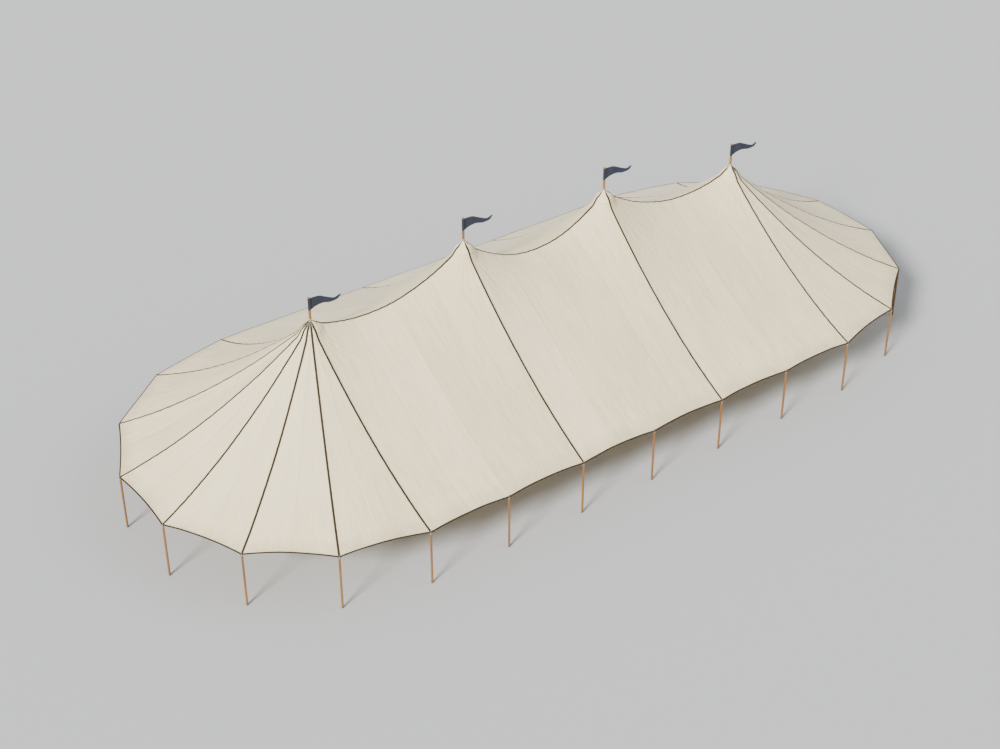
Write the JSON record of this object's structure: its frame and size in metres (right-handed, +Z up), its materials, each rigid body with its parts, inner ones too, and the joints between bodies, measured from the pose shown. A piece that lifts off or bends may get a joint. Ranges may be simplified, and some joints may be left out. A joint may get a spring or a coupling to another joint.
{
  "type": "sailcloth pole tent",
  "caption": "Long sailcloth pole tent with half-round ends, pointed peaks with sagging ridges between them, an open scalloped eave on side poles, and turning pennants.",
  "frame": {"origin": "on the ground at the middle of the tent, below the middle of the ridge", "axes": "+X along the row of centre poles, +Y across the tent, +Z up"},
  "size_m": [31.1808, 13.487, 8.13],
  "materials": {
    "sailcloth": "matt woven cloth",
    "varnished_wood": "satin varnish",
    "galvanised_steel": "galvanised",
    "pennant_cloth": "matt woven cloth"
  },
  "bodies": {
    "tent": {"canopy_left_end": "sailcloth", "canopy_middle_1": "sailcloth", "canopy_middle_2": "sailcloth", "canopy_middle_3": "sailcloth", "canopy_right_end": "sailcloth", "side_pole_01": "varnished_wood", "side_pole_02": "varnished_wood", "side_pole_03": "varnished_wood", "side_pole_04": "varnished_wood", "side_pole_05": "varnished_wood", "side_pole_06": "varnished_wood", "side_pole_07": "varnished_wood", "side_pole_08": "varnished_wood", "side_pole_09": "varnished_wood", "side_pole_10": "varnished_wood", "side_pole_11": "varnished_wood", "side_pole_12": "varnished_wood", "side_pole_13": "varnished_wood", "side_pole_14": "varnished_wood", "side_pole_15": "varnished_wood", "side_pole_16": "varnished_wood", "side_pole_17": "varnished_wood", "side_pole_18": "varnished_wood", "side_pole_19": "varnished_wood", "side_pole_20": "varnished_wood", "side_pole_21": "varnished_wood", "side_pole_22": "varnished_wood", "side_pole_23": "varnished_wood", "side_pole_24": "varnished_wood", "side_pole_25": "varnished_wood", "side_pole_26": "varnished_wood", "centre_pole_1": "varnished_wood", "centre_pole_2": "varnished_wood", "centre_pole_3": "varnished_wood", "centre_pole_4": "varnished_wood", "peak_ring_1": "galvanised_steel", "peak_ring_2": "galvanised_steel", "peak_ring_3": "galvanised_steel", "peak_ring_4": "galvanised_steel"},
    "pennant_1": {"pennant_1": "pennant_cloth"},
    "pennant_2": {"pennant_2": "pennant_cloth"},
    "pennant_3": {"pennant_3": "pennant_cloth"},
    "pennant_4": {"pennant_4": "pennant_cloth"}
  },
  "joints": [
    {"name": "pennant_1_turn", "type": "hinge", "parent": "tent", "child": "pennant_1", "pos_m": [-9.015, 0, 6.98], "axis": [0, 0, 1], "continuous": true},
    {"name": "pennant_2_turn", "type": "hinge", "parent": "tent", "child": "pennant_2", "pos_m": [-3.005, 0, 7.88], "axis": [0, 0, 1], "continuous": true},
    {"name": "pennant_3_turn", "type": "hinge", "parent": "tent", "child": "pennant_3", "pos_m": [3.005, 0, 7.88], "axis": [0, 0, 1], "continuous": true},
    {"name": "pennant_4_turn", "type": "hinge", "parent": "tent", "child": "pennant_4", "pos_m": [9.015, 0, 6.98], "axis": [0, 0, 1], "continuous": true}
  ]
}
